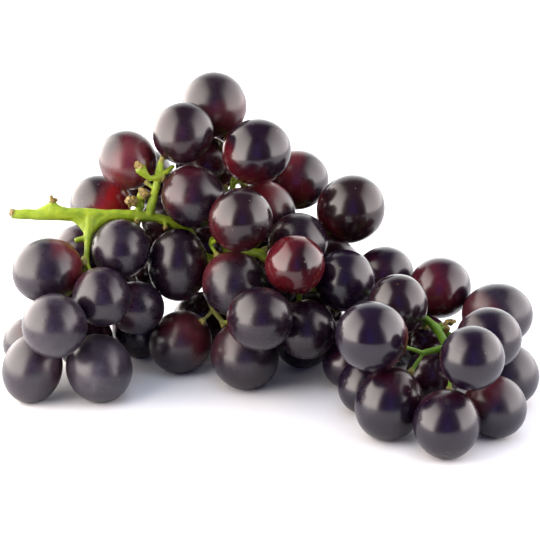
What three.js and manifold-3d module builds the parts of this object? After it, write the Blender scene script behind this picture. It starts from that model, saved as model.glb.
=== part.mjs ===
// A bunch of dark table grapes lying on a flat surface.
// Millimetres, +Z up. +X runs along the bunch from the cut stem to the tail, and +Y runs to its back.
// The origin is on the surface, under the middle of the bunch.

import * as THREE from 'three';
import { mergeVertices } from 'three/addons/utils/BufferGeometryUtils.js';
import Module from 'manifold-3d';

const wasm = await Module();
wasm.setup();

// Clear space between the pieces
const GAP = 0.3;
const STEM_CLEARANCE = 0.5;

// Berries: a usual berry is a little longer than wide, along the line of its own stalk
const BERRY_STRETCH = 1.06;
const BERRY_DETAIL = 2;
const FLOOR_FLAT = 0.5;
const FLOOR_BLOCK = 400;

// Stem: branch diameters are given with the branch points, and these are for the berry stalks
const STALK_DIAMETER = 1.4;
const STALK_LENGTH = 6;
const RECEPTACLE_DIAMETER = 3;
const RECEPTACLE_LENGTH = 2.2;
const LEAST_DIAMETER = 0.7;
const BRANCH_STEP = 4.5;
const STALK_STEPS = 2;
const BRANCH_SIDES = 7;
const STALK_SIDES = 5;
const BARE_PEDUNCLE = 32;
const STALK_PROBES = [0.2, 0.4, 0.6, 0.8, 1];

// Rounds of the loops that push pieces clear of each other
const SETTLE_ROUNDS = 200;
const ROUTE_ROUNDS = 60;
const AIM_ROUNDS = 3;
const SMOOTHING = 0.35;
const HOMING = 0.12;

// A berry with this height rests on the surface
const FLOOR = null;

const UP = [0, 0, 1];

// Place of the diameter in a branch point
const DIAMETER = 3;

// Each berry: x, y, z of its middle and its mean diameter. An odd one also has its stretch and long axis,
// and one whose stalk shows has the place on the stem where that stalk starts.
const BERRIES = {
  crown: [
    [-21, 46.5, 92.5, 24.5, { stretch: 1.02 }],
    [-32, 25.5, 87.5, 22.5, { from: [-40, 20, 79] }],
    [-53, 29, 76.5, 22],
    [-64.5, 40.5, 55, 23],
    [-37.5, 32.5, 51, 21],
    [-24.5, 47.5, 68.5, 23],
    [-10, 66, 66, 21.5],
    [-25, 40.5, 37.5, 20],
  ],
  middle: [
    [-5, 26.5, 80.5, 25, { stretch: 1.06, axis: [1, 0, 0.35] }],
    [10.5, 55, 60.5, 23.5, { from: [-9, 52, 58] }],
    [30, 25, 58.5, 25.5],
    [-11, 2.5, 61.5, 23.5],
    [-28.5, 18.5, 65.5, 23.5, { from: [-41, 18.5, 74] }],
    [-1.5, 33, 55, 22.5],
    [10.5, 15, 49.5, 21.5],
    [9, -7, 48, 22],
    [24, 31, 33, 23],
    [-4, -19, 31.5, 23.5],
    [-14, 2, 38, 24, { from: [-22, 14, 48.5] }],
    [-9, -6, FLOOR, 25],
    [-33.5, 9.5, FLOOR, 23.5],
    [-33.5, 11.5, 40.5, 24, { stretch: 1.23, axis: UP }],
    [14, -7.5, 22.5, 22],
    [12.5, 14, FLOOR, 22.5],
  ],
  tail: [
    [28, 2.5, 38.5, 23],
    [41.5, 19, 34.5, 22],
    [45.5, -23, 38.5, 22],
    [63.5, 7, 33.5, 23],
    [82.5, -4, 27.5, 24, { stretch: 1.13, axis: [1, 0, 0] }],
    [76.5, -40, 32.5, 22.5],
    [68.5, -64, 35, 22.5],
    [85.5, -20.5, FLOOR, 23],
    [78.5, -49, FLOOR, 22],
    [60, -65, FLOOR, 23.5],
    [42, -51, FLOOR, 24.6, { stretch: 1.1, axis: [0.4, 0.2, 1], from: [54, -38.5, 26.5] }],
    [35, -51, 37.7, 24.8, { from: [54, -38.5, 26.5] }],
    [34.5, -28, FLOOR, 20.5],
    [28, -5.5, FLOOR, 19],
    [56.5, -6.5, 17.5, 20.5],
    [58, -31.5, 15, 20],
  ],
  shoulder: [
    [-55, 5.5, 49, 22],
    [-61, -12, 38, 21.5, { from: [-67, 5.5, 49.5] }],
    [-76, -27, 32.5, 23.5],
    [-81, -2, 44, 24.5, { stretch: 1.1, from: [-71.5, 8, 52] }],
    [-62, -17, FLOOR, 24.5],
    [-86, -18, FLOOR, 23, { stretch: 1.18, axis: [0.3, 0.2, 1] }],
    [-89, 3, 13.5, 20],
    [-71, 22, 42.5, 21.5],
    [-48.5, 3, 28.5, 20],
    [-50, 24.5, FLOOR, 20.5],
  ],
  back: [
    [-69.5, 14, FLOOR, 21],
    [-26.5, 34, FLOOR, 22],
    [17, 37, FLOOR, 22],
    [-49.5, 46, 30.5, 23],
    [18, 60, 32, 22],
    [-28, 62, 52, 22],
    [1, 32, 26, 22],
    [-48, 60, 60, 22],
    [50, 18, FLOOR, 22],
  ],
};

// Skin colour of each cluster, and of the stem
const SKIN_COLOURS = {
  crown: '#3b0f18',
  middle: '#2b0d1a',
  tail: '#2a0c18',
  shoulder: '#22101f',
  back: '#260e1b',
};
const STEM_COLOUR = '#9db13c';
const SKIN_ROUGHNESS = 0.25;
const STEM_ROUGHNESS = 0.6;

// Each branch: points along its middle line, as x, y, z and diameter.
// The first is the main stem, from the cut end to the tail, and each later one starts on an earlier one.
const BRANCHES = [
  [
    [-95, 12, 61, 3.2], [-88, 12, 60.7, 3.8], [-80, 12.5, 60.8, 4.8], [-73, 13.5, 60.5, 5],
    [-66.5, 14.5, 59.5, 5], [-57.5, 16.5, 59, 4.2], [-48, 18.5, 58.5, 4], [-41, 20, 57, 3.4],
    [-35, 21, 54, 3.8], [-31, 25, 44, 3.4], [-24, 26, 37, 3.4], [-16, 23, 38, 3.4], [-9, 18, 45, 3.2],
    [-3, 14, 46.5, 3],
    [4, 9, 41, 3], [11, 11, 33.5, 3.2], [28, 13, 29.5, 3.2], [42, 0.5, 29.5, 3.2], [56.5, -16, 31, 2.8],
    [59.5, -24, 30, 2.8], [62, -32, 28.5, 2.7], [63, -39, 26.5, 2.3], [63, -47, 25, 1.8],
  ],
  // left shoulder
  [
    [-66.5, 14.5, 59.5, 5], [-66, 12, 56, 4.4], [-66.5, 9, 53.5, 3], [-67, 5.5, 49.5, 2],
    [-67, 2, 46, 2], [-68, 0.5, 35.5, 2], [-69, -3, 24, 2], [-72, -10, 22, 1.8],
  ],
  // left shoulder's twig to the left
  [[-66.5, 9, 53.5, 2.2], [-69, 8.5, 52.5, 1.9], [-71.5, 8, 52, 1.6]],
  // up to the crown from the front
  [[-46.5, 18.5, 59, 3.2], [-44.5, 18.5, 62, 3], [-42, 18, 67, 3], [-41, 18.5, 73, 2.7], [-40, 20, 79, 2.4]],
  // up to the crown from the middle
  [[-16, 23, 38, 3], [-17, 25, 48, 2.6], [-16, 28, 56, 2.4], [-14, 32.5, 65.5, 2.2], [-12.5, 40, 71, 1.8]],
  // from there to the upper back
  [[-16, 30, 60, 2.2], [-13, 40, 60, 2], [-9, 52, 58, 1.8]],
  // from there down to the front
  [[-17, 25, 48, 2], [-23, 18, 51, 1.8], [-22, 14, 48.5, 1.7]],
  // to the lower back
  [[-16, 23, 38, 2.6], [-13, 29, 33, 2], [-12.5, 32, 25, 1.8]],
  // to the back of the left shoulder
  [
    [-52, 17, 59, 2.8], [-50.5, 22.5, 53, 2.4], [-51, 29.5, 43, 2.2], [-53.5, 32, 29.5, 2],
    [-57.5, 28, 22, 1.9], [-60, 25, 19, 1.8],
  ],
  // from there to the back of the crown
  [[-51, 28, 45, 2.2], [-50, 37, 51, 2], [-49, 44, 53, 1.8]],
  // down the front of the middle
  [
    [-16, 23, 38, 2.8], [-22, 16.5, 35, 2.3], [-23.5, 8, 27.5, 2.1], [-18.5, 2, 23.5, 1.9],
    [-17, -5, 25, 1.8],
  ],
  // down the right of the middle
  [[11, 11, 33.5, 2.2], [11, 12, 27, 1.8]],
  // up the right of the middle
  [[11, 11, 33.5, 2.6], [16, 22, 40, 2.2], [16.5, 31, 44.5, 2], [16, 42, 46, 1.8]],
  // down to the lower right of the back
  [[29, 12.5, 29, 2.2], [33, 17, 24, 2], [30, 27, 19, 1.8]],
  // into the tail: to its far left, its upper right, its lower right and its near left
  [[50, -8, 30, 2.2], [46.5, -14, 23, 2], [44, -18, 20, 1.8]],
  [[58, -20, 30.5, 2.2], [64, -17, 23.5, 2], [70, -14.5, 22, 1.8]],
  [[62, -32, 28.5, 2.4], [66.5, -32.5, 25.5, 2], [70.5, -31.5, 21.5, 1.8]],
  [[62.5, -34.5, 28, 2.4], [59, -36.5, 27, 2.3], [54, -38.5, 26.5, 2]],
];

// Short dry stubs that carry no berry, some with a swollen end: points as for a branch
const STUBS = [
  [[-80, 12.5, 60.5, 4.8], [-80, 13, 63, 4], [-80, 13.5, 65, 2.6], [-79.5, 13.5, 66.8, 2]],
  [
    [-41, 18.5, 73, 2.4], [-44, 16, 73.5, 2.2], [-46, 15.5, 75.5, 2.4], [-47.5, 15.5, 77.5, 4],
    [-48, 15.5, 79, 2.8],
  ],
  [[-49, 18.5, 59, 2.2], [-48.5, 18.5, 63.5, 1.9], [-48.5, 18.5, 65.5, 1.6]],
  [[-48.5, 18.5, 62.5, 1.4], [-50.5, 17.5, 64, 4], [-52.5, 16.5, 65, 3]],
  [[-48.5, 18.5, 64.5, 1.4], [-47, 18.5, 66.5, 4], [-45.5, 18.5, 68, 3]],
  [[-49, 17.5, 59, 2], [-49, 15, 56, 1.8]],
  [[-38.5, 20.5, 56, 2.6], [-39, 16, 53.5, 3]],
  [[59.5, -24, 30, 1.8], [61.5, -24.5, 30, 2], [63, -24.5, 29.5, 2.6]],
  [[58.5, -20, 30, 1.6], [61, -15, 27.5, 1.3], [67.5, -12, 28, 1.2]],
  [[-41, 18.5, 73, 2.2], [-38, 20, 75, 1.9], [-35.5, 22, 76.5, 2.2]],
];

// Swellings beside the stub near the cut end and the start of the left shoulder: points as for a branch
const SWELLINGS = [
  [[-85, 12.3, 60.8, 4.2], [-82, 12.8, 62.6, 3.4], [-80, 13.3, 64.6, 2.2]],
  [[-74.5, 13.2, 60.6, 4.6], [-78, 13, 62.4, 3.6], [-80, 13.3, 64.6, 2.2]],
  [[-72, 13.6, 60, 4.6], [-69, 12.6, 57.4, 3.8], [-66.8, 10.5, 54.6, 2.8]],
  [[-60, 15.8, 59.2, 4.2], [-63.5, 13.8, 57.2, 3.8], [-66, 10.8, 54.6, 2.8]],
];

// Vector helpers

const vector = ([x, y, z]) => new THREE.Vector3(x, y, z);

function directionTo(from, to) {
  return to.clone().sub(from).normalize();
}

// Berry layout

function makeBerry(cluster, index, [x, y, z, diameter, odd = {}]) {
  const stretch = odd.stretch ?? BERRY_STRETCH;
  return {
    name: `${cluster}_berry_${String(index + 1).padStart(2, '0')}`,
    cluster,
    rests: z === FLOOR,
    middle: new THREE.Vector3(x, y, z === FLOOR ? diameter / 2 : z),
    across: (diameter / 2) * stretch ** (-1 / 3),
    along: (diameter / 2) * stretch ** (2 / 3),
    hasOwnAxis: odd.axis !== undefined,
    axis: vector(odd.axis ?? UP).normalize(),
    from: odd.from,
  };
}

// How far a berry's skin reaches from its middle, towards a direction
function reach(berry, direction) {
  const slope = berry.axis.dot(direction);
  return Math.sqrt(berry.across ** 2 + (berry.along ** 2 - berry.across ** 2) * slope ** 2);
}

function restOnFloor(berry) {
  if (berry.rests) {
    berry.middle.z = reach(berry, vector(UP)) - FLOOR_FLAT;
  }
}

// Push overlapping berries apart, a little each round, and keep the resting ones on the surface
function settle(berries) {
  for (let round = 0; round < SETTLE_ROUNDS; round++) {
    berries.forEach((berry, index) => {
      for (const other of berries.slice(index + 1)) {
        const direction = directionTo(berry.middle, other.middle);
        const wanted = reach(berry, direction) + reach(other, direction) + GAP;
        const overlap = wanted - berry.middle.distanceTo(other.middle);
        if (overlap > 0) {
          berry.middle.addScaledVector(direction, -overlap / 2);
          other.middle.addScaledVector(direction, overlap / 2);
        }
      }
      restOnFloor(berry);
    });
  }
}

// Distance from a point to the nearest berry skin, leaving one berry out
function clearOfBerries(point, berries, leftOut) {
  const distances = berries
    .filter((berry) => berry !== leftOut)
    .map((berry) => point.distanceTo(berry.middle) - reach(berry, directionTo(berry.middle, point)));
  return Math.min(...distances);
}

// Stem layout

// Push the inner points of a route clear of the berries while it stays smooth and near its own line
function routeAround(points, diameters, berries, leftOut) {
  const line = points.map((point) => point.clone());
  for (let round = 0; round < ROUTE_ROUNDS; round++) {
    for (let i = 1; i < line.length - 1; i++) {
      const between = line[i - 1].clone().add(line[i + 1]).multiplyScalar(0.5);
      line[i].lerp(between, SMOOTHING).lerp(points[i], HOMING);
      for (const berry of berries.filter((each) => each !== leftOut)) {
        const direction = directionTo(berry.middle, line[i]);
        const wanted = reach(berry, direction) + diameters[i] / 2 + STEM_CLEARANCE;
        const short = wanted - berry.middle.distanceTo(line[i]);
        if (short > 0) {
          line[i].addScaledVector(direction, short);
        }
      }
    }
  }
  return line;
}

function nearestPoint(points, target) {
  const distances = points.map((point) => point.distanceTo(target));
  return points[distances.indexOf(Math.min(...distances))];
}

// Points along a smooth curve through a path, each with its diameter
function samplePath(path) {
  const curve = new THREE.CatmullRomCurve3(path.map(vector));
  const spans = path.length - 1;
  const samples = path.slice(0, spans).flatMap((start, span) => {
    const end = path[span + 1];
    const steps = Math.max(1, Math.round(vector(start).distanceTo(vector(end)) / BRANCH_STEP));
    return Array.from({ length: steps }, (_, step) => ({
      point: curve.getPoint((span + step / steps) / spans),
      diameter: THREE.MathUtils.lerp(start[DIAMETER], end[DIAMETER], step / steps),
    }));
  });
  return [...samples, { point: curve.getPoint(1), diameter: path[spans][DIAMETER] }];
}

// Middle line of each branch, in order, so that each starts on the line of an earlier one
function layBranches(berries) {
  const laid = [];
  for (const path of BRANCHES) {
    const samples = samplePath(path);
    const points = samples.map((sample) => sample.point);
    const diameters = samples.map((sample) => sample.diameter);
    if (laid.length > 0) {
      points[0] = nearestPoint(laid.flatMap((branch) => branch.line), points[0]);
    }
    laid.push({ line: routeAround(points, diameters, berries), diameters });
  }
  return laid;
}

// Points of the stem where a berry stalk may start: all but the bare stretch by the cut end
function stalkSites(branches) {
  const cutEnd = branches[0].line[0];
  return branches
    .flatMap((branch) => branch.line)
    .filter((point) => point.distanceTo(cutEnd) > BARE_PEDUNCLE);
}

// How deep a straight stalk would cut into other berries
function blockage(start, berry, berries) {
  const pole = berry.middle.clone().addScaledVector(directionTo(berry.middle, start), berry.along);
  const depths = STALK_PROBES.map((share) => {
    const clear = clearOfBerries(start.clone().lerp(pole, share), berries, berry);
    return Math.max(0, STALK_DIAMETER / 2 + STEM_CLEARANCE - clear);
  });
  return depths.reduce((sum, depth) => sum + depth, 0);
}

// The site that gives a berry a free stalk of about the usual length
function bestSite(berry, berries, sites) {
  const costs = sites.map((site) => {
    const length = site.distanceTo(berry.middle) - berry.along;
    return Math.abs(length - STALK_LENGTH) + blockage(site, berry, berries);
  });
  return sites[costs.indexOf(Math.min(...costs))];
}

// Point each berry's long axis along its stalk
function aimBerries(berries, sites) {
  for (const berry of berries) {
    berry.site = berry.from ? nearestPoint(sites, vector(berry.from)) : bestSite(berry, berries, sites);
    if (!berry.hasOwnAxis) {
      berry.axis = directionTo(berry.middle, berry.site);
    }
  }
}

function layStalk(berry, berries) {
  const towards = directionTo(berry.middle, berry.site);
  const pole = berry.middle.clone().addScaledVector(towards, reach(berry, towards) + GAP);
  const points = Array.from({ length: STALK_STEPS + 1 }, (_, i) => {
    return berry.site.clone().lerp(pole, i / STALK_STEPS);
  });
  return routeAround(points, points.map(() => STALK_DIAMETER), berries, berry);
}

// Solids

function mergedGeometry(geometry) {
  const bare = geometry.clone();
  bare.deleteAttribute('normal');
  bare.deleteAttribute('uv');
  return mergeVertices(bare);
}

function solidFrom(geometry) {
  const merged = mergedGeometry(geometry);
  return new wasm.Manifold(new wasm.Mesh({
    numProp: 3,
    vertProperties: new Float32Array(merged.attributes.position.array),
    triVerts: new Uint32Array(merged.index.array),
  }));
}

function geometryFrom(solid) {
  const mesh = solid.getMesh();
  const geometry = new THREE.BufferGeometry();
  geometry.setAttribute('position', new THREE.BufferAttribute(mesh.vertProperties, 3));
  geometry.setIndex(new THREE.BufferAttribute(mesh.triVerts, 1));
  geometry.computeVertexNormals();
  return geometry;
}

// A closed round tube along a line, with its radius given point by point: a cylinder bent along the line
function taperedTube(line, radii, sides) {
  const curve = new THREE.CatmullRomCurve3(line);
  const steps = line.length - 1;
  const frames = curve.computeFrenetFrames(steps, false);
  const geometry = mergedGeometry(new THREE.CylinderGeometry(1, 1, 1, sides, steps));
  const position = geometry.attributes.position;
  for (let i = 0; i < position.count; i++) {
    const ring = Math.round((position.getY(i) + 0.5) * steps);
    const point = line[ring].clone()
      .addScaledVector(frames.normals[ring], position.getX(i) * radii[ring])
      .addScaledVector(frames.binormals[ring], -position.getZ(i) * radii[ring]);
    position.setXYZ(i, point.x, point.y, point.z);
  }
  return solidFrom(geometry);
}

// Radii along a line, thinner only where a berry is too near
function roomyRadii(line, diameters, berries, leftOut) {
  return line.map((point, i) => {
    const room = clearOfBerries(point, berries, leftOut) - GAP;
    return Math.max(LEAST_DIAMETER / 2, Math.min(diameters[i] / 2, room));
  });
}

// A berry stalk, which swells into a receptacle where it meets the berry
function stalkSolid(berry, berries) {
  const line = layStalk(berry, berries);
  const radii = roomyRadii(line, line.map(() => STALK_DIAMETER), berries, berry);
  const pole = line.at(-1);
  const swelling = line.at(-2).clone().sub(pole).setLength(RECEPTACLE_LENGTH).add(pole);
  const neck = line.at(-2).distanceTo(pole) > RECEPTACLE_LENGTH ? [swelling] : [];
  const room = clearOfBerries(pole, berries, berry) - GAP;
  const endRadius = Math.max(LEAST_DIAMETER / 2, Math.min(RECEPTACLE_DIAMETER / 2, room));
  const neckRadii = neck.map(() => radii.at(-2));
  return taperedTube(
    [...line.slice(0, -1), ...neck, pole],
    [...radii.slice(0, -1), ...neckRadii, endRadius],
    STALK_SIDES,
  );
}

function stemSolid(branches, berries) {
  const bumps = [...STUBS, ...SWELLINGS].map((path) => ({
    line: path.map(vector),
    diameters: path.map((point) => point[DIAMETER]),
  }));
  const wood = [...branches, ...bumps].map(({ line, diameters }) => {
    return taperedTube(line, roomyRadii(line, diameters, berries), BRANCH_SIDES);
  });
  const stalks = berries.map((berry) => stalkSolid(berry, berries));
  return [...wood, ...stalks].reduce((whole, piece) => whole.add(piece));
}

function berryGeometry(berry) {
  const geometry = mergedGeometry(new THREE.IcosahedronGeometry(1, BERRY_DETAIL));
  geometry.scale(berry.across, berry.across, berry.along);
  geometry.applyQuaternion(new THREE.Quaternion().setFromUnitVectors(vector(UP), berry.axis));
  geometry.translate(...berry.middle.toArray());
  if (!berry.rests) {
    geometry.computeVertexNormals();
    return geometry;
  }
  const below = new THREE.BoxGeometry(FLOOR_BLOCK, FLOOR_BLOCK, FLOOR_BLOCK);
  below.translate(0, 0, -FLOOR_BLOCK / 2);
  return geometryFrom(solidFrom(geometry).subtract(solidFrom(below)));
}

function makeMesh(name, geometry, colour, roughness) {
  const material = new THREE.MeshStandardMaterial({ color: colour, roughness, metalness: 0 });
  const mesh = new THREE.Mesh(geometry, material);
  mesh.name = name;
  return mesh;
}

// The bunch

const berries = Object.entries(BERRIES).flatMap(([cluster, rows]) => {
  return rows.map((row, index) => makeBerry(cluster, index, row));
});
berries.forEach(restOnFloor);
settle(berries);
let branches = layBranches(berries);
for (let round = 0; round < AIM_ROUNDS; round++) {
  aimBerries(berries, stalkSites(branches));
  berries.forEach(restOnFloor);
  settle(berries);
  branches = layBranches(berries);
}
aimBerries(berries, stalkSites(branches));
settle(berries);

const bunch = new THREE.Group();
bunch.add(makeMesh('stem', geometryFrom(stemSolid(branches, berries)), STEM_COLOUR, STEM_ROUGHNESS));
for (const berry of berries) {
  bunch.add(makeMesh(berry.name, berryGeometry(berry), SKIN_COLOURS[berry.cluster], SKIN_ROUGHNESS));
}

// Stand the whole bunch over the origin
const extent = new THREE.Box3().setFromObject(bunch);
const middle = extent.getCenter(new THREE.Vector3());
bunch.position.set(-middle.x, -middle.y, 0);

const part = new THREE.Group();
part.add(bunch);

export default part;
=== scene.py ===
import math

import bpy
import numpy as np
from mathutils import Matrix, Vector, bvhtree, kdtree, noise


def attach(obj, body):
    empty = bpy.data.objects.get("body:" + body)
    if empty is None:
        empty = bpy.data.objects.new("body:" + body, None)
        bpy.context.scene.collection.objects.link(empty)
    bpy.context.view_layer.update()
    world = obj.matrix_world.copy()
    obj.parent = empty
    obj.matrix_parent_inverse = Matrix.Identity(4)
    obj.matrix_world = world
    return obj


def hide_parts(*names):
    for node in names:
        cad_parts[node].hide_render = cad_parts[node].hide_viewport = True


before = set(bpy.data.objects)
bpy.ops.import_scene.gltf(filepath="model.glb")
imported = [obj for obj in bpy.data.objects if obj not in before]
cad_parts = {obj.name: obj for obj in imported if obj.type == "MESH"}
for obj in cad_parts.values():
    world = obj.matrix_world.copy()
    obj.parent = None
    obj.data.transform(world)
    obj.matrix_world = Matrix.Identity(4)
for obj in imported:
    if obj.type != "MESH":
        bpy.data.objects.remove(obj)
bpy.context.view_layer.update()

# The frame is in metres. Sizes and places below are in millimetres unless they say otherwise.
MM = 0.001
BODY = "root"
STEM = "stem"
BERRIES = sorted(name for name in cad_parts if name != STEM)

# The bunch was laid out about a point beside the middle of its box. The camera's aim, the dry ends
# and the withered branch are given from that point.
LAYOUT_SHIFT = np.array([0.95, 0.15, 0.0])

# Camera: the photograph looks down on the bunch through a long lens
AIM_HEIGHT = 43.5
AIM = LAYOUT_SHIFT + (0, 0, AIM_HEIGHT)
CAMERA_RISE = math.radians(20)
CAMERA_DISTANCE = 800
EYE = AIM + CAMERA_DISTANCE * np.array([0, -math.cos(CAMERA_RISE), math.sin(CAMERA_RISE)])
SENSOR = 36
LENS = 146.1

# Grid of a berry: rings from pole to pole, drawn together at both poles
RINGS = 52
SEGMENTS = 72
POLE_CROWDING = 0.62
# Points of a berry's node below this height are on the flat that it rests on, not on its spheroid
FLOOR_CUT = 0.1
# Points of the stem this near to a berry are the end of its stalk
STALK_GAP = 0.36

# Berry relief, as heights, as angles from a pole and as lengths of waves
COLLAR_HEIGHT = 0.42
COLLAR_SPREAD = 0.10
DIMPLE_DEPTH = 0.30
DIMPLE_PLACE = 0.24
DIMPLE_SPREAD = 0.10
NIB_HEIGHT = 0.06
NIB_SPREAD = 0.03
WOBBLE_HEIGHT = 0.18
WOBBLE_LENGTH = 13.0
RIPPLE_HEIGHT = 0.035
RIPPLE_LENGTH = 4.2

# Berries that fill the gaps inside the bunch, past those that are nodes, with the least and most half width
FILLERS = 30
FILLER_SIZES = (6.0, 10.0)
# Spacing of the places that are tried for them, and the gap kept round each
FILLER_SPACING = 3.0
FILLER_GAP = 0.3
# A place is inside if the mean direction to its nearest neighbours is shorter than this
FILLER_NEIGHBOURS = 8
FILLER_LEAN = 0.55
# More than this share of a filler's outline is hidden in the photograph's view
FILLER_HIDDEN = 0.95
OUTLINE_POINTS = 12
# Their stalks: half widths from the branch to the berry, sides of the tube, most length,
# the gap kept to other berries and the points at which that is tried
STALK_WIDTHS = (1.2, 0.9, 0.9, 1.0, 1.2, 1.9)
STALK_SIDES = 10
STALK_LONGEST = 24.0
STALK_CLEAR = 1.2
STALK_POINTS = 12

# How a berry looks: red is the strength of its wine colour, which is partly the skin's own colour and partly
# painted glow of light through the skin, and over 1 a paler painted glow; spread how much of it that covers
# from the stalk, bloom the wax, gloss the polish and indigo how blue the dark part is.
# Each cluster has its usual look, and some berries their own.
CLUSTER_LOOKS = {
    "crown": dict(red=0.30, spread=0.5, bloom=0.15, gloss=0.5, indigo=0.3),
    "middle": dict(red=0.25, spread=0.4, bloom=0.12, gloss=0.5, indigo=0.45),
    "tail": dict(red=0.20, spread=0.4, bloom=0.10, gloss=0.6, indigo=0.8),
    "shoulder": dict(red=0.20, spread=0.4, bloom=0.40, gloss=0.4, indigo=0.7),
    "back": dict(red=0.30, spread=0.4, bloom=0.20, gloss=0.5, indigo=0.5),
    "inner": dict(red=0.30, spread=0.4, bloom=0.20, gloss=0.5, indigo=0.5),
}
LOOKS = {
    "crown_berry_01": dict(red=0.45, spread=0.45, bloom=0.30, gloss=0.3),
    "crown_berry_02": dict(red=0.10, bloom=0.10, gloss=0.6),
    "crown_berry_03": dict(red=0.80, spread=0.60, bloom=0.35, gloss=0.4),
    "crown_berry_04": dict(red=1.60, spread=0.42, bloom=0.12, gloss=0.6),
    "middle_berry_01": dict(red=0.75, spread=0.45, bloom=0.08, gloss=0.9),
    "middle_berry_02": dict(red=1.00, spread=0.55, bloom=0.20, gloss=0.6),
    "middle_berry_03": dict(red=0.70, spread=0.30, bloom=0.08, gloss=0.8, indigo=0.0),
    "middle_berry_04": dict(red=0.35, spread=0.60, bloom=0.10, gloss=0.8, indigo=0.1),
    "middle_berry_06": dict(red=0.90, spread=0.50, bloom=0.35, gloss=0.4),
    "middle_berry_08": dict(red=0.60, spread=0.95, bloom=0.08, gloss=1.0, indigo=0.1),
    "middle_berry_11": dict(red=0.70, spread=0.30, bloom=0.45, gloss=0.4),
    "middle_berry_12": dict(red=0.20, spread=0.40, bloom=0.45, gloss=0.3),
    "middle_berry_13": dict(red=0.60, spread=0.30, bloom=0.45, gloss=0.3),
    "shoulder_berry_03": dict(red=0.10, bloom=0.80, gloss=0.3),
    "shoulder_berry_04": dict(red=0.90, spread=0.30, bloom=0.45, gloss=0.3),
    "shoulder_berry_05": dict(red=0.05, bloom=1.60, gloss=0.2),
    "shoulder_berry_06": dict(red=0.15, bloom=0.70, gloss=0.2),
    "tail_berry_03": dict(red=0.20, bloom=0.15, gloss=0.8, indigo=0.3),
    "tail_berry_04": dict(red=0.45, spread=0.45, bloom=0.08, gloss=0.8),
    "tail_berry_05": dict(red=0.70, spread=0.28, bloom=0.50, gloss=0.3),
    "tail_berry_08": dict(red=0.10, bloom=0.60, gloss=0.2),
    "tail_berry_09": dict(red=0.60, spread=0.25, bloom=0.40, gloss=0.3),
    "tail_berry_12": dict(red=0.60, spread=0.30, bloom=0.12, gloss=0.8),
}
# Wine colour fades out this far to each side of its edge, where a berry's half length is 1,
# and patches move the edge to and fro
RED_FADE = 0.45
RED_PATCH = 0.35
RED_PATCH_LENGTH = 9.0
# Bloom varies about its mean in patches of its own
BLOOM_MEAN = 0.75
BLOOM_PATCH = 0.5
BLOOM_PATCH_LENGTH = 7.0
BLOOM_PATCH_SHIFT = 50

# In the materials a noise is given as its length, detail and roughness, dots as their spacing, radius
# and the share of places that have one, and a bump as its strength and depth.
# A range is the part of a value that a change takes up, with what it changes from and to
# where that isn't 0 and 1. A pair of colours goes from the darker to the paler.

# Skin
SKIN_MOTTLE = (5.0, 4.0, 0.6)
SKIN_GRAIN = (0.8, 3.0, 0.6)
SKIN_RUB = (6.0, 5.0, 0.65)
SKIN_SPECKS = (3.2, 0.26, 0.30)
SKIN_BUMP = (0.12, 0.05)
SKIN_IOR = 1.5
BROWN_BLACK = ((0.005, 0.0013, 0.0020), (0.010, 0.0020, 0.0034))
BLUE_BLACK = ((0.0026, 0.0008, 0.0060), (0.0050, 0.0011, 0.0105))
# Wine red: partly the skin's own colour and partly painted glow of light shining through the skin
WINE = ((0.050, 0.003, 0.006), (0.115, 0.007, 0.010))
# Painted glow: a paler red standing for light shining through the skin, where a berry's red is over 1
PAINTED_GLOW_RED = (0.34, 0.012, 0.014)
WAX = (0.20, 0.185, 0.225)
SPECK = (0.17, 0.13, 0.11)
SCAR = (0.05, 0.028, 0.014)
RED_RAGGED = 0.3
WINE_RANGE = (0.05, 0.95)
# The range of the red that the painted glow takes up
PAINTED_GLOW_RANGE = (1.0, 1.7)
RUB_RANGE = (0.38, 0.62)
DUST_RANGE = (0.25, 0.75, 0.6, 1.0)
GLOSS_RANGE = (0.0, 1.0, 0.33, 0.13)
# The share of the bloom that rubbing takes off, and how strongly each layer covers those below it
RUBBED_OFF = 0.7
WAX_COVER = 0.14
SPECK_COVER = 0.6
SCAR_COVER = 0.8
# Roughness that bloom and specks add
BLOOM_ROUGHNESS = 0.07
SPECK_ROUGHNESS = 0.2
# A dot keeps its full strength to this share of its radius
DOT_CORE = 0.6

# Stem skin. An edge is how ragged a patch's edge is, and the range of the patch that it takes up.
STEM_MOTTLE = (4.0, 4.0, 0.6)
STEM_GRAIN = (0.7, 4.0, 0.65)
STEM_FRECKLES = (1.3, 0.22, 0.25)
STEM_BUMP = (0.35, 0.15)
STEM_SPECULAR = 0.3
YELLOW_GREEN = ((0.105, 0.175, 0.004), (0.235, 0.300, 0.014))
GREEN = ((0.045, 0.11, 0.003), (0.10, 0.19, 0.009))
OLIVE = ((0.040, 0.045, 0.008), (0.11, 0.11, 0.025))
TAN = ((0.10, 0.08, 0.018), (0.26, 0.23, 0.055))
BROWN = ((0.014, 0.007, 0.002), (0.25, 0.17, 0.035))
FRECKLE = (0.07, 0.055, 0.015)
FRECKLE_COVER = 0.5
YELLOW_RANGE = (0.3, 0.7)
BROWN_RANGE = (0.36, 0.64)
STEM_ROUGHNESS_RANGE = (0.3, 0.7, 0.40, 0.58)
WITHERED_EDGE = (0.6, 0.2, 0.7)
WARTY_EDGE = (1.0, 0.35, 0.95)
DRY_EDGE = (1.0, 0.3, 0.7)

# Stem shape: the size of its even faces, how they are softened, and how much fuller they are made again
STEM_VOXEL = 0.37
STEM_SOFTNESS = 0.5
STEM_SMOOTHING = 6
STEM_FULLNESS = 0.2
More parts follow.
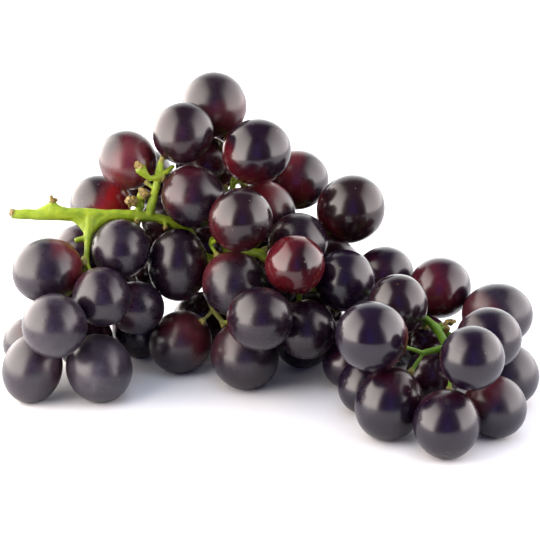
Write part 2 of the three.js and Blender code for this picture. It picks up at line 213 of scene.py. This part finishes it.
# Stem relief, as heights and lengths of bumps. Pits in the crust go down by this share of its height,
# and the ridges are drawn out along X.
WART_HEIGHT = 0.55
WART_LENGTH = 1.2
CRUST_HEIGHT = 1.6
CRUST_LENGTH = 1.3
CRUST_PITS = 0.1
KNOB_HEIGHT = 0.28
KNOB_LENGTH = 4.0
RIDGE_HEIGHT = 0.12
RIDGE_LENGTH = 1.8
RIDGE_STRETCH = np.array([0.3, 1.0, 1.0])
# Swollen stalk ends: how far they go from the berry, and the share of that at full strength
RECEPTACLE_REACH = 3.4
RECEPTACLE_CORE = 0.5
# The stem turns from yellow-green to green between these places along X
TAIL_START = 25.0
TAIL_END = 55.0
# Dry brown ends of the stem, with how far the brown goes: the cut, the knob, empty receptacles and stubs
DRY_ENDS = (
    ((-95.0, 12.0, 61.5), 2.4),
    ((-80.0, 13.5, 66.5), 2.6),
    ((-48.0, 15.5, 79.0), 2.8),
    ((-51.5, 17.0, 64.5), 3.6),
    ((-46.0, 18.5, 67.5), 3.6),
    ((-49.0, 15.0, 56.0), 2.6),
    ((-39.0, 16.0, 53.5), 2.4),
    ((63.0, -24.5, 29.5), 2.2),
    ((65.0, -13.0, 28.0), 5.0),
)
# A withered side branch in the middle of the front, with its reach
WITHERED = ((-20.0, 4.0, 26.0), 16.0)
# The share of their reach at full strength
MARK_CORE = 0.45

# Studio, in metres. The floor ends a little in front of the bunch.
FLOOR_SIDE = 4.0
FLOOR_FRONT = -0.30
FLOOR_COLOUR = (0.66, 0.66, 0.67)
FLOOR_ROUGHNESS = 0.7
FLOOR_SPECULAR = 0.2
# Upright lit panels, from the near to the far end of the foot
PANELS = {
    "left_panel": dict(
        near=(-0.25, -0.42), far=(-0.42, 0.75), height=1.0,
        colour=(1.0, 0.915, 0.855), near_strength=10.0, far_strength=6.5,
    ),
    "right_panel": dict(
        near=(0.62, -0.64), far=(0.62, 0.80), height=1.4,
        colour=(1.0, 0.93, 0.925), near_strength=7.4, far_strength=4.8,
    ),
    "back_panel": dict(
        near=(-0.9, 0.95), far=(0.9, 0.95), height=1.4,
        colour=(1.0, 1.0, 1.0), near_strength=3.0, far_strength=3.0,
    ),
    "front_panel": dict(
        near=(-0.35, -1.5), far=(0.35, -1.5), height=3.0,
        colour=(0.2, 0.22, 1.0), near_strength=0.75, far_strength=0.75,
    ),
}
# A panel's light comes up over this share of its length, and goes down from this share of its height
PANEL_EDGE_RANGE = (0, 0.10)
PANEL_TOP_RANGE = (0.1, 1, 1, 0)
SKY_HEIGHT = 1.6
SKY_SIZE = 2.5
SKY_COLOUR = (0.74, 0.83, 1.0)
SKY_POWER = 54
ROOM_COLOUR = (0.09, 0.10, 0.16)
WHITE = (1, 1, 1)
BLACK = (0, 0, 0)


# Meshes

def vertices_of(mesh):
    """A mesh's vertices in millimetres."""
    points = np.empty(3 * len(mesh.vertices))
    mesh.vertices.foreach_get("co", points)
    return points.reshape(-1, 3) / MM


def faces_of(mesh):
    return [tuple(face.vertices) for face in mesh.polygons]


def shade_smooth(mesh):
    mesh.polygons.foreach_set("use_smooth", np.ones(len(mesh.polygons), bool))
    mesh.update()


def mesh_object(name, points, faces):
    """A smooth mesh object from points in millimetres, placed in the frame."""
    mesh = bpy.data.meshes.new(name)
    mesh.from_pydata((points * MM).tolist(), [], faces)
    shade_smooth(mesh)
    piece = bpy.data.objects.new(name, mesh)
    bpy.context.scene.collection.objects.link(piece)
    return piece


def paint(piece, name, values):
    """Stores one number for each vertex, which the materials read by name."""
    attribute = piece.data.attributes.new(name, "FLOAT", "POINT")
    attribute.data.foreach_set("value", np.asarray(values, np.float32))


def waves(points, length):
    """Smooth noise between about -1 and 1, with bumps about this long."""
    return np.array([noise.noise(Vector(point)) for point in points / length])


def smooth_step(values, low, high):
    share = np.clip((values - low) / (high - low), 0, 1)
    return share * share * (3 - 2 * share)


def bell(values, place, spread):
    return np.exp(-((values - place) / spread) ** 2)


def turn_to(direction):
    """The matrix that turns +Z to a direction."""
    return np.array(Vector(direction).to_track_quat("Z", "Y").to_matrix())


# Where the berries are

def spheroid(points):
    """Centre of the spheroid through these points, and the matrix that makes it from a unit ball."""
    middle = points.mean(axis=0)
    offset = points - middle
    products = 2 * offset[:, [0, 0, 1]] * offset[:, [1, 2, 2]]
    design = np.column_stack([offset ** 2, products, 2 * offset])
    answer = np.linalg.lstsq(design, np.ones(len(offset)), rcond=None)[0]
    xx, yy, zz, xy, xz, yz = answer[:6]
    quadric = np.array([[xx, xy, xz], [xy, yy, yz], [xz, yz, zz]])
    shift = -np.linalg.solve(quadric, answer[6:])
    values, vectors = np.linalg.eigh(quadric / (1 + shift @ quadric @ shift))
    return middle + shift, vectors @ np.diag(values ** -0.5) @ vectors.T


def gap_to(points, centre, shape):
    """How far points are outside a spheroid, along the lines to its centre."""
    away = points - centre
    reach = np.linalg.norm(away @ np.linalg.inv(shape), axis=1)
    return (1 - 1 / reach) * np.linalg.norm(away, axis=1)


def stalk_direction(centre, shape, stem_points):
    """Where a berry's stalk meets it, as a direction on the unit ball: the nearest end of the stem."""
    unit = (stem_points - centre) @ np.linalg.inv(shape)
    unit /= np.linalg.norm(unit, axis=1)[:, None]
    gap = gap_to(stem_points, centre, shape)
    near = unit[gap < STALK_GAP] if (gap < STALK_GAP).any() else unit[[gap.argmin()]]
    long_axis = np.linalg.eigh(shape)[1][:, -1]
    return near[np.abs(near @ long_axis).argmax()]


def stalk_root(centre, size, balls, stem_points):
    """The nearest point of the stem that a straight stalk reaches from a berry here, clear of the others."""
    away = np.linalg.norm(stem_points - centre, axis=1)
    for i in np.argsort(away):
        if away[i] > size + STALK_LONGEST:
            return None
        share = np.linspace(size / away[i], 1, STALK_POINTS)[:, None]
        line = centre + share * (stem_points[i] - centre)
        if all((gap_to(line, *ball) > STALK_CLEAR).all() for ball in balls):
            return stem_points[i]
    return None


def share_hidden(spots, sizes, balls):
    """How much of the outline of a berry at each spot is behind other berries, as the camera sees it.

    The other berries count as balls of their mean half width.
    """
    sight = EYE - spots
    sight /= np.linalg.norm(sight, axis=1)[:, None]
    across = np.cross(sight, (0, 0, 1))
    upward = np.cross(across, sight)
    hidden = np.zeros(len(spots))
    for turn in np.linspace(0, 2 * math.pi, OUTLINE_POINTS, endpoint=False):
        edge = spots + sizes[:, None] * (math.cos(turn) * across + math.sin(turn) * upward)
        blocked = np.zeros(len(spots), bool)
        for centre, shape in balls:
            away = centre - edge
            ahead = (away * sight).sum(axis=1)
            aside = np.linalg.norm(away - ahead[:, None] * sight, axis=1)
            blocked |= (ahead > 0) & (aside < shape.trace() / 3)
        hidden += blocked / OUTLINE_POINTS
    return hidden


def places_inside(balls):
    """Places on an even grid that have berries on all sides and before them, and the room round each."""
    centres = np.array([centre for centre, shape in balls])
    ends = zip(centres.min(axis=0), centres.max(axis=0))
    axes = [np.arange(low, high, FILLER_SPACING) for low, high in ends]
    spots = np.stack(np.meshgrid(*axes, indexing="ij"), axis=-1).reshape(-1, 3)
    room = spots[:, 2]
    for ball in balls:
        room = np.minimum(room, gap_to(spots, *ball))
    least, most = FILLER_SIZES
    fits = (room > least) & (room < 2 * most)
    sizes = np.minimum(room[fits], most)
    fits[fits] = share_hidden(spots[fits], sizes, balls) > FILLER_HIDDEN
    spots = spots[fits]
    room = room[fits]
    away = centres - spots[:, None]
    length = np.linalg.norm(away, axis=2)
    nearest = np.argsort(length, axis=1)[:, :FILLER_NEIGHBOURS, None]
    directions = np.take_along_axis(away / length[:, :, None], nearest, axis=1)
    inside = np.linalg.norm(directions.mean(axis=1), axis=1) < FILLER_LEAN
    return spots[inside], room[inside]


def find_fillers(balls, stem_data):
    """Berries that fit in the gaps, the roomiest gap first: where, how large, and the root of the stalk."""
    stem_points = vertices_of(stem_data)
    surface = bvhtree.BVHTree.FromPolygons(stem_points.tolist(), faces_of(stem_data))
    balls = list(balls)
    spots, room = places_inside(balls)
    to_stem = [surface.find_nearest(Vector(spot))[-1] for spot in spots]
    room = np.minimum(room, to_stem)
    least, most = FILLER_SIZES
    found = []
    while len(found) < FILLERS and room.max() > least + FILLER_GAP:
        best = room.argmax()
        size = min(room[best] - FILLER_GAP, most)
        root = stalk_root(spots[best], size, balls, stem_points)
        if root is None:
            room[best] = 0
            continue
        found.append((spots[best], size, root))
        balls.append((spots[best], size * np.eye(3)))
        for share in np.linspace(0, 1, STALK_POINTS):
            stalk = spots[best] + share * (root - spots[best])
            room = np.minimum(room, np.linalg.norm(spots - stalk, axis=1) - STALK_CLEAR)
        room = np.minimum(room, np.linalg.norm(spots - spots[best], axis=1) - size)
    return found


# Berries

def berry_grid():
    """Unit directions and faces of a ball whose first vertex is the pole at +Z and last the one at -Z."""
    even = np.linspace(0, 1, RINGS + 1)
    polar = math.pi * (even - POLE_CROWDING * np.sin(2 * math.pi * even) / (2 * math.pi))
    around = np.linspace(0, 2 * math.pi, SEGMENTS, endpoint=False)
    rings = [
        np.column_stack([
            math.sin(angle) * np.cos(around),
            math.sin(angle) * np.sin(around),
            np.full(SEGMENTS, math.cos(angle)),
        ])
        for angle in polar[1:-1]
    ]
    points = np.vstack([[(0, 0, 1)], *rings, [(0, 0, -1)]])
    last = len(points) - 1
    faces = []
    for i in range(SEGMENTS):
        j = (i + 1) % SEGMENTS
        faces.append((0, 1 + i, 1 + j))
        for ring in range(RINGS - 2):
            upper = 1 + ring * SEGMENTS
            lower = upper + SEGMENTS
            faces.append((upper + i, lower + i, lower + j, upper + j))
        base = last - SEGMENTS
        faces.append((base + i, last, base + j))
    return points, faces


def angles_from_poles(grid):
    """Each grid point's angle from the stalk at +Z and from the style scar at -Z."""
    from_stalk = np.arccos(np.clip(grid[:, 2], -1, 1))
    return from_stalk, math.pi - from_stalk


def berry_points(centre, shape, pole, grid):
    """A berry's points on its spheroid, with its stalk collar, dimple, style scar and slight wobble."""
    ball = grid @ turn_to(pole).T
    outward = ball @ np.linalg.inv(shape)
    outward /= np.linalg.norm(outward, axis=1)[:, None]
    smooth = centre + ball @ shape
    from_stalk, from_style = angles_from_poles(grid)
    relief = COLLAR_HEIGHT * bell(from_stalk, 0, COLLAR_SPREAD)
    relief -= DIMPLE_DEPTH * bell(from_stalk, DIMPLE_PLACE, DIMPLE_SPREAD)
    relief += NIB_HEIGHT * bell(from_style, 0, NIB_SPREAD)
    relief += WOBBLE_HEIGHT * waves(smooth, WOBBLE_LENGTH) + RIPPLE_HEIGHT * waves(smooth, RIPPLE_LENGTH)
    points = smooth + outward * relief[:, None]
    points[:, 2] = np.maximum(points[:, 2], 0)
    return points


def paint_berry(berry, name, points, grid):
    """Stores a berry's look: its own where it has one, or else its cluster's."""
    look = {**CLUSTER_LOOKS[name.split("_")[0]], **LOOKS.get(name, {})}
    red_edge = 1 - 2 * look["spread"]
    height = grid[:, 2] + RED_PATCH * waves(points, RED_PATCH_LENGTH)
    # Red mask for the wine colour, which is partly the skin's own and partly painted glow of light through
    # the skin
    red = look["red"] * smooth_step(height, red_edge - RED_FADE, red_edge + RED_FADE)
    bloom_patches = waves(points + BLOOM_PATCH_SHIFT, BLOOM_PATCH_LENGTH)
    bloom = look["bloom"] * (BLOOM_MEAN + BLOOM_PATCH * bloom_patches)
    from_stalk, from_style = angles_from_poles(grid)
    paint(berry, "red", red)
    paint(berry, "bloom", np.maximum(bloom, 0))
    paint(berry, "gloss", np.full(len(grid), look["gloss"]))
    paint(berry, "indigo", np.full(len(grid), look["indigo"]))
    paint(berry, "scar", bell(from_style, 0, NIB_SPREAD) + bell(from_stalk, 0, COLLAR_SPREAD))


def make_berry(name, centre, shape, pole, grid, faces):
    """One berry, which stands for its node where it has one."""
    points = berry_points(centre, shape, pole, grid)
    berry = mesh_object("grape_" + name, points, faces)
    paint_berry(berry, name, points, grid)
    berry.data.materials.append(skin_material())
    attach(berry, BODY)
    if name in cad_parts:
        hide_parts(name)


# Stem

def tube(start, end, widths):
    """Points and faces of a closed tube with these half widths, evenly spaced along it."""
    around = np.linspace(0, 2 * math.pi, STALK_SIDES, endpoint=False)
    circle = np.column_stack([np.cos(around), np.sin(around), np.zeros(STALK_SIDES)])
    ring = circle @ turn_to(end - start).T
    along = np.linspace(start, end, len(widths))
    points = np.vstack([place + width * ring for place, width in zip(along, widths)])
    last = len(points) - STALK_SIDES
    faces = [tuple(reversed(range(STALK_SIDES))), tuple(range(last, len(points)))]
    for first in range(0, last, STALK_SIDES):
        for i in range(STALK_SIDES):
            j = (i + 1) % STALK_SIDES
            faces.append((first + i, first + j, first + STALK_SIDES + j, first + STALK_SIDES + i))
    return points, faces


def stem_mesh(fillers):
    """The stem node's own shape and the fillers' stalks, in small even faces with rounded joints."""
    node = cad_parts[STEM].data
    points = vertices_of(node)
    faces = faces_of(node)
    for centre, size, root in fillers:
        tip = centre + (root - centre) * size / np.linalg.norm(root - centre)
        stalk_points, stalk_faces = tube(root, tip, STALK_WIDTHS)
        faces += [tuple(corner + len(points) for corner in face) for face in stalk_faces]
        points = np.vstack([points, stalk_points])
    rough = mesh_object("stem_base", points, faces)
    remesh = rough.modifiers.new("even_faces", "REMESH")
    remesh.mode = "VOXEL"
    remesh.voxel_size = STEM_VOXEL * MM
    soften = rough.modifiers.new("soften", "SMOOTH")
    soften.factor = STEM_SOFTNESS
    soften.iterations = STEM_SMOOTHING
    bpy.context.view_layer.update()
    mesh = bpy.data.meshes.new_from_object(rough.evaluated_get(bpy.context.evaluated_depsgraph_get()))
    bpy.data.objects.remove(rough)
    return mesh


def nearness(points, place, reach):
    """1 at a place in the layout, and 0 from reach away."""
    away = np.linalg.norm(points - (np.array(place) + LAYOUT_SHIFT), axis=1)
    return 1 - smooth_step(away, MARK_CORE * reach, reach)


def receptacles(points, stalk_ends):
    """1 at the swollen ends of the stalks, and 0 away from them."""
    tree = kdtree.KDTree(len(stalk_ends))
    for i, end in enumerate(stalk_ends):
        tree.insert(end, i)
    tree.balance()
    away = np.array([tree.find(point)[-1] for point in points])
    return 1 - smooth_step(away, RECEPTACLE_CORE * RECEPTACLE_REACH, RECEPTACLE_REACH)


def stem_relief(points, receptacle, dry):
    """How far the stem's skin stands out: warty receptacles, crusty dry ends, knobs and fine ridges."""
    relief = STEM_FULLNESS + WART_HEIGHT * receptacle * waves(points, WART_LENGTH)
    relief += CRUST_HEIGHT * dry * np.maximum(waves(points, CRUST_LENGTH), -CRUST_PITS)
    relief += KNOB_HEIGHT * (1 - receptacle) * waves(points, KNOB_LENGTH)
    relief += RIDGE_HEIGHT * waves(points * RIDGE_STRETCH, RIDGE_LENGTH)
    return relief


def make_stem(stalk_ends, fillers):
    """The stem with all its branches and stalks, as one piece."""
    mesh = stem_mesh(fillers)
    mesh.name = "vine_stem"
    stem = bpy.data.objects.new("vine_stem", mesh)
    bpy.context.scene.collection.objects.link(stem)
    points = vertices_of(mesh)
    normals = np.array([vertex.normal for vertex in mesh.vertices])
    receptacle = receptacles(points, stalk_ends)
    dry = np.max([nearness(points, *end) for end in DRY_ENDS], axis=0)
    points = points + normals * stem_relief(points, receptacle, dry)[:, None]
    mesh.vertices.foreach_set("co", (points * MM).ravel())
    shade_smooth(mesh)
    paint(stem, "receptacle", receptacle)
    paint(stem, "dry", dry)
    paint(stem, "withered", nearness(points, *WITHERED))
    paint(stem, "fresh", smooth_step(points[:, 0], TAIL_START, TAIL_END))
    mesh.materials.append(stem_material())
    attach(stem, BODY)
    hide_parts(STEM)


# Materials

class Nodes:
    """A short way to add nodes to a material and wire them."""

    # Where a colour Mix node keeps its two colours and its result
    MIX_COLOURS = (6, 7)
    MIX_RESULT = 2

    def __init__(self, material):
        material.use_nodes = True
        self.tree = material.node_tree
        self.shader = self.tree.nodes["Principled BSDF"]

    def add(self, kind, **settings):
        node = self.tree.nodes.new("ShaderNode" + kind)
        for key, value in settings.items():
            setattr(node, key, value)
        return node

    def put(self, socket, value):
        if isinstance(value, bpy.types.NodeSocket):
            self.tree.links.new(value, socket)
        else:
            socket.default_value = value

    def attribute(self, name):
        return self.add("Attribute", attribute_name=name).outputs["Fac"]

    def place(self):
        """Position in millimetres."""
        scale = self.add("VectorMath", operation="SCALE")
        self.put(scale.inputs[0], self.add("TexCoord").outputs["Object"])
        scale.inputs["Scale"].default_value = 1 / MM
        return scale.outputs[0]

    def noise(self, place, length, detail, roughness):
        texture = self.add("TexNoise")
        self.put(texture.inputs["Vector"], place)
        texture.inputs["Scale"].default_value = 1 / length
        texture.inputs["Detail"].default_value = detail
        texture.inputs["Roughness"].default_value = roughness
        return texture.outputs["Fac"]

    def dots(self, place, spacing, radius, share):
        """Round dots of about this radius, in this share of the cells."""
        cells = self.add("TexVoronoi", feature="F1")
        self.put(cells.inputs["Vector"], place)
        cells.inputs["Scale"].default_value = 1 / spacing
        lot = self.add("SeparateColor")
        self.put(lot.inputs[0], cells.outputs["Color"])
        chosen = self.math("LESS_THAN", lot.outputs[0], share)
        reach = radius / spacing
        dot = self.spread(cells.outputs["Distance"], DOT_CORE * reach, reach, 1.0, 0.0)
        return self.math("MULTIPLY", dot, chosen)

    def math(self, operation, a, b=0.0, c=0.0):
        node = self.add("Math", operation=operation)
        for socket, value in zip(node.inputs, (a, b, c)):
            self.put(socket, value)
        return node.outputs[0]

    def spread(self, value, low, high, to_low=0.0, to_high=1.0):
        node = self.add("MapRange", clamp=True)
        for socket, number in zip(node.inputs, (value, low, high, to_low, to_high)):
            self.put(socket, number)
        return node.outputs[0]

    def ragged(self, name, texture, amount):
        """A painted mask whose edge is broken up by a texture."""
        centred = self.math("SUBTRACT", texture, 0.5)
        return self.math("MULTIPLY_ADD", centred, amount, self.attribute(name))

    def patch(self, name, texture, amount, low, high):
        """A ragged mask brought to between 0 and 1."""
        return self.spread(self.ragged(name, texture, amount), low, high)

    def mix(self, share, a, b):
        node = self.add("Mix", data_type="RGBA")
        self.put(node.inputs["Factor"], share)
        for i, colour in zip(self.MIX_COLOURS, (a, b)):
            self.put(node.inputs[i], colour if isinstance(colour, bpy.types.NodeSocket) else (*colour, 1))
        return node.outputs[self.MIX_RESULT]

    def cover(self, below, colour, mask, strength):
        """A colour over what is below it, where a mask shows it."""
        return self.mix(self.math("MULTIPLY", mask, strength), below, colour)

    def bump(self, height, strength, depth):
        node = self.add("Bump")
        node.inputs["Strength"].default_value = strength
        node.inputs["Distance"].default_value = depth * MM
        self.put(node.inputs["Height"], height)
        self.put(self.shader.inputs["Normal"], node.outputs[0])


def skin_material():
    """Dark grape skin: wine red towards the stalk, partly its own colour and partly painted glow of light
    through the skin, with a paler painted glow where the red is over 1; waxy bloom in patches, pale specks
    and a varied gloss.
    """
    made = bpy.data.materials.get("grape_skin")
    if made:
        return made
    made = bpy.data.materials.new("grape_skin")
    n = Nodes(made)
    place = n.place()
    mottle = n.noise(place, *SKIN_MOTTLE)
    grain = n.noise(place, *SKIN_GRAIN)
    red = n.ragged("red", mottle, RED_RAGGED)
    dark = n.mix(n.attribute("indigo"), n.mix(mottle, *BROWN_BLACK), n.mix(mottle, *BLUE_BLACK))
    # Wine red over the dark skin: partly its own colour, partly painted glow of light through the skin
    wine_and_glow = n.mix(n.spread(red, *WINE_RANGE), dark, n.mix(mottle, *WINE))
    # Painted glow: a paler red where the red is over 1, for light shining through the skin
    painted_glow = n.mix(n.spread(red, *PAINTED_GLOW_RANGE), wine_and_glow, PAINTED_GLOW_RED)
    kept = n.spread(n.noise(place, *SKIN_RUB), *RUB_RANGE)
    left_on = n.math("MULTIPLY_ADD", kept, RUBBED_OFF, 1 - RUBBED_OFF)
    dust = n.math("MULTIPLY", n.attribute("bloom"), left_on)
    dust = n.math("MULTIPLY", dust, n.spread(grain, *DUST_RANGE))
    waxed = n.cover(painted_glow, WAX, dust, WAX_COVER)
    speck = n.dots(place, *SKIN_SPECKS)
    speckled = n.cover(waxed, SPECK, speck, SPECK_COVER)
    scarred = n.cover(speckled, SCAR, n.attribute("scar"), SCAR_COVER)
    n.put(n.shader.inputs["Base Color"], scarred)
    rough = n.spread(n.attribute("gloss"), *GLOSS_RANGE)
    rough = n.math("MULTIPLY_ADD", kept, BLOOM_ROUGHNESS, rough)
    n.put(n.shader.inputs["Roughness"], n.math("MULTIPLY_ADD", speck, SPECK_ROUGHNESS, rough))
    n.bump(grain, *SKIN_BUMP)
    n.shader.inputs["IOR"].default_value = SKIN_IOR
    return made


def stem_material():
    """Fresh vine stem: yellow-green, greener in the tail, warty tan receptacles and dry brown ends."""
    made = bpy.data.materials.new("vine_stem")
    n = Nodes(made)
    place = n.place()
    mottle = n.noise(place, *STEM_MOTTLE)
    grain = n.noise(place, *STEM_GRAIN)
    yellow = n.mix(n.spread(mottle, *YELLOW_RANGE), *YELLOW_GREEN)
    fresh = n.mix(n.attribute("fresh"), yellow, n.mix(mottle, *GREEN))
    withered = n.mix(n.patch("withered", mottle, *WITHERED_EDGE), fresh, n.mix(grain, *OLIVE))
    freckled = n.cover(withered, FRECKLE, n.dots(place, *STEM_FRECKLES), FRECKLE_COVER)
    warty = n.mix(n.patch("receptacle", grain, *WARTY_EDGE), freckled, n.mix(grain, *TAN))
    brown = n.mix(n.spread(grain, *BROWN_RANGE), *BROWN)
    n.put(n.shader.inputs["Base Color"], n.mix(n.patch("dry", grain, *DRY_EDGE), warty, brown))
    n.put(n.shader.inputs["Roughness"], n.spread(grain, *STEM_ROUGHNESS_RANGE))
    n.bump(grain, *STEM_BUMP)
    n.shader.inputs["Specular IOR Level"].default_value = STEM_SPECULAR
    return made


def floor_material():
    made = bpy.data.materials.new("floor")
    n = Nodes(made)
    n.shader.inputs["Base Color"].default_value = (*FLOOR_COLOUR, 1)
    n.shader.inputs["Roughness"].default_value = FLOOR_ROUGHNESS
    n.shader.inputs["Specular IOR Level"].default_value = FLOOR_SPECULAR
    return made


def glow_material(name, colour, near_strength, far_strength):
    """A lit diffuser, which changes from its near end to its far one and fades at its near edge and top."""
    made = bpy.data.materials.new(name)
    n = Nodes(made)
    n.shader.inputs["Base Color"].default_value = (*BLACK, 1)
    n.shader.inputs["Specular IOR Level"].default_value = 0
    n.shader.inputs["Emission Color"].default_value = (*colour, 1)
    along = n.attribute("along")
    strength = n.spread(along, 0, 1, near_strength, far_strength)
    strength = n.math("MULTIPLY", strength, n.spread(along, *PANEL_EDGE_RANGE))
    strength = n.math("MULTIPLY", strength, n.spread(n.attribute("up"), *PANEL_TOP_RANGE))
    n.put(n.shader.inputs["Emission Strength"], strength)
    return made


# Studio

def make_camera():
    data = bpy.data.cameras.new("camera")
    data.sensor_width = SENSOR
    data.lens = LENS
    camera = bpy.data.objects.new("camera", data)
    bpy.context.scene.collection.objects.link(camera)
    camera.location = EYE * MM
    camera.rotation_euler = Vector(AIM - EYE).to_track_quat("-Z", "Y").to_euler()
    bpy.context.scene.camera = camera


def make_floor():
    left, right = -FLOOR_SIDE, FLOOR_SIDE
    front, back = FLOOR_FRONT, FLOOR_SIDE
    corners = np.array([(left, front, 0), (right, front, 0), (right, back, 0), (left, back, 0)])
    floor = mesh_object("floor", corners / MM, [(0, 1, 2, 3)])
    floor.data.materials.append(floor_material())


def light_panel(name, near, far, height, colour, near_strength, far_strength):
    """An upright lit panel from near to far along the floor, which the camera doesn't see."""
    corners = np.array([(*near, 0), (*far, 0), (*far, height), (*near, height)])
    panel = mesh_object(name, corners / MM, [(0, 1, 2, 3)])
    paint(panel, "along", (0, 1, 1, 0))
    paint(panel, "up", (0, 0, 1, 1))
    panel.data.materials.append(glow_material(name, colour, near_strength, far_strength))
    panel.visible_camera = False


def sky_light():
    """A wide soft light overhead, for the floor and the colours: the berries don't mirror it."""
    data = bpy.data.lights.new("sky_light", "AREA")
    data.size = SKY_SIZE
    data.color = SKY_COLOUR
    data.energy = SKY_POWER
    light = bpy.data.objects.new("sky_light", data)
    light.location = (0, 0, SKY_HEIGHT)
    light.visible_camera = False
    light.visible_glossy = False
    bpy.context.scene.collection.objects.link(light)


def make_room():
    """A dim room round the studio, which shows as plain white behind the floor."""
    world = bpy.data.worlds.new("room")
    bpy.context.scene.world = world
    world.use_nodes = True
    tree = world.node_tree
    dim = tree.nodes["Background"]
    dim.inputs["Color"].default_value = (*ROOM_COLOUR, 1)
    white = tree.nodes.new("ShaderNodeBackground")
    white.inputs["Color"].default_value = (*WHITE, 1)
    seen = tree.nodes.new("ShaderNodeLightPath")
    choose = tree.nodes.new("ShaderNodeMixShader")
    tree.links.new(seen.outputs["Is Camera Ray"], choose.inputs[0])
    tree.links.new(dim.outputs[0], choose.inputs[1])
    tree.links.new(white.outputs[0], choose.inputs[2])
    tree.links.new(choose.outputs[0], tree.nodes["World Output"].inputs["Surface"])


def make_studio():
    """Pale floor, a lit panel on every side, a soft light overhead and a dim room round them."""
    make_floor()
    for name, panel in PANELS.items():
        light_panel(name, **panel)
    sky_light()
    make_room()
    bpy.context.scene.view_settings.view_transform = "Standard"


make_camera()
make_studio()
stem_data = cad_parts[STEM].data
stem_points = vertices_of(stem_data)
grid, grid_faces = berry_grid()
balls = []
stalk_ends = []
for name in BERRIES:
    points = vertices_of(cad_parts[name].data)
    centre, shape = spheroid(points[points[:, 2] > FLOOR_CUT])
    pole = stalk_direction(centre, shape, stem_points)
    make_berry(name, centre, shape, pole, grid, grid_faces)
    balls.append((centre, shape))
    stalk_ends.append(centre + pole @ shape)
fillers = find_fillers(balls, stem_data)
for number, (centre, size, root) in enumerate(fillers, 1):
    pole = (root - centre) / np.linalg.norm(root - centre)
    make_berry(f"inner_berry_{number:02d}", centre, size * np.eye(3), pole, grid, grid_faces)
    stalk_ends.append(centre + size * pole)
make_stem(stalk_ends, fillers)
